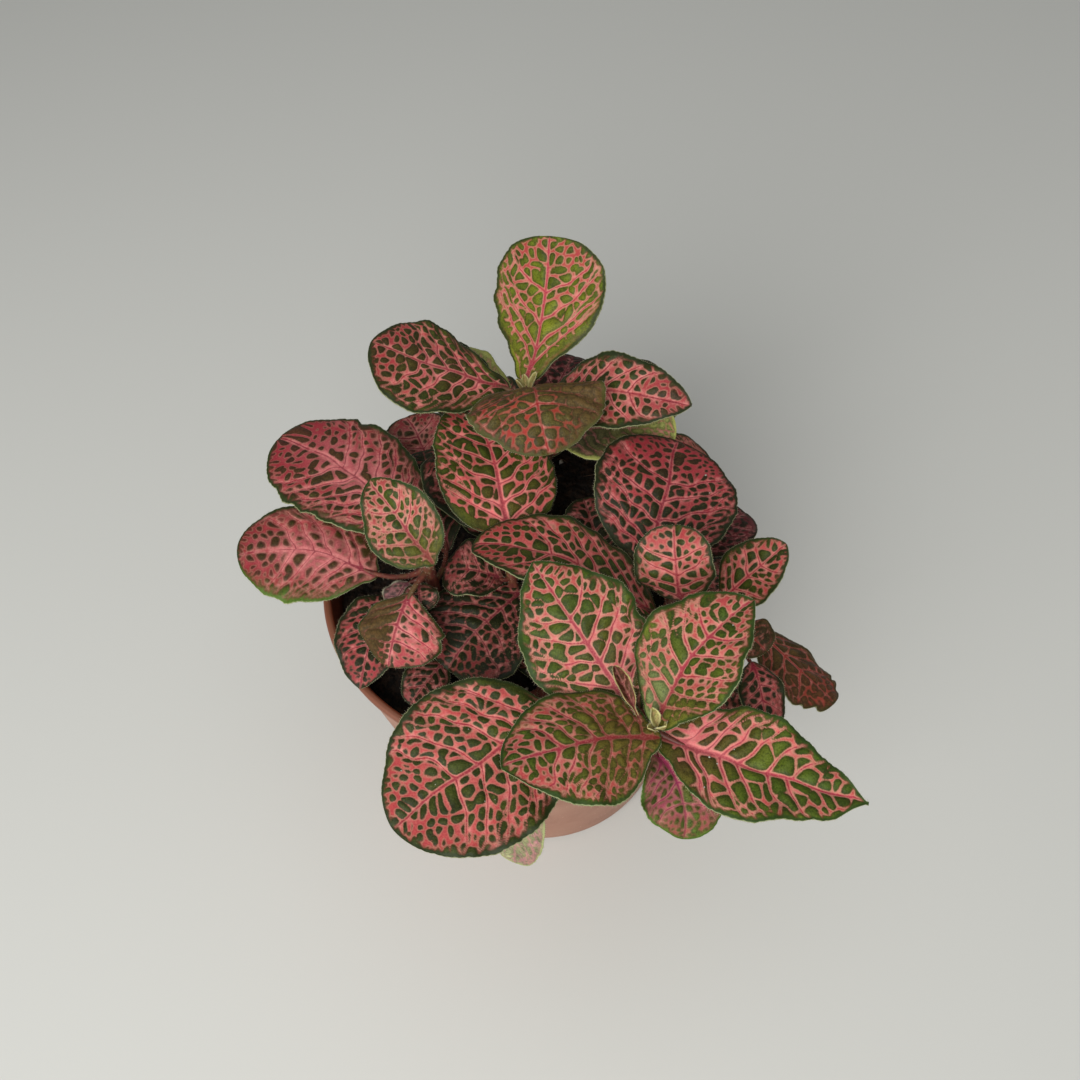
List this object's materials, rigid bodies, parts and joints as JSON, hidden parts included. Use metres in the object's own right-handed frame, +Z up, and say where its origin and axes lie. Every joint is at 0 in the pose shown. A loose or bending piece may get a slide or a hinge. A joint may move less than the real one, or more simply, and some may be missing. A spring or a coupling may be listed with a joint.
{
  "type": "potted nerve plant",
  "caption": "Low house plant with pink-netted green leaves on short leafy stems, growing in peat soil in a round tapered plastic nursery pot.",
  "frame": {"origin": "centre of the pot's foot, on the surface that the pot stands on", "axes": "+Z up along the pot's axis; -Y is the front, where the longest leaf leans out over the rim"},
  "size_m": [0.1683, 0.1711, 0.1794],
  "materials": {
    "leaf": "dark green between a raised salmon-pink net of veins, slightly downy, matt with a soft sheen",
    "stem": "fleshy brownish-pink stems with short pale hairs",
    "pot": "thin terracotta-coloured moulded plastic, satin, a little scuffed at the rim",
    "soil": "damp, nearly black peat with a few white specks"
  },
  "bodies": {
    "root": {"back_leaf_1": "leaf", "back_leaf_2": "leaf", "back_leaf_3": "leaf", "back_leaf_4": "leaf", "back_leaf_5": "leaf", "back_leaf_6": "leaf", "back_leaf_7": "leaf", "back_leaf_8": "leaf", "back_leaf_9": "leaf", "front_leaf_1": "leaf", "front_leaf_2": "leaf", "front_leaf_3": "leaf", "front_leaf_4": "leaf", "front_leaf_5": "leaf", "front_leaf_6": "leaf", "low_leaf_1": "leaf", "low_leaf_2": "leaf", "low_leaf_3": "leaf", "left_leaf_1": "leaf", "left_leaf_2": "leaf", "left_leaf_3": "leaf", "left_leaf_4": "leaf", "left_leaf_5": "leaf", "left_leaf_6": "leaf", "left_leaf_7": "leaf", "left_leaf_8": "leaf", "left_leaf_9": "leaf", "left_leaf_10": "leaf", "middle_leaf_1": "leaf", "middle_leaf_2": "leaf", "middle_leaf_3": "leaf", "right_leaf_1": "leaf", "right_leaf_2": "leaf", "right_leaf_3": "leaf", "right_leaf_4": "leaf", "right_leaf_5": "leaf", "edge_leaf_1": "leaf", "edge_leaf_2": "leaf", "edge_leaf_3": "leaf", "hind_leaf_1": "leaf", "hind_leaf_2": "leaf", "small_leaf_1": "leaf", "small_leaf_2": "leaf", "corner_leaf_1": "leaf", "corner_leaf_2": "leaf", "back_stem": "stem", "front_stem": "stem", "low_stem": "stem", "left_stem": "stem", "middle_stem": "stem", "right_stem": "stem", "edge_stem": "stem", "hind_stem": "stem", "small_stem": "stem", "corner_stem": "stem", "pot": "pot", "soil": "soil"}
  },
  "joints": []
}
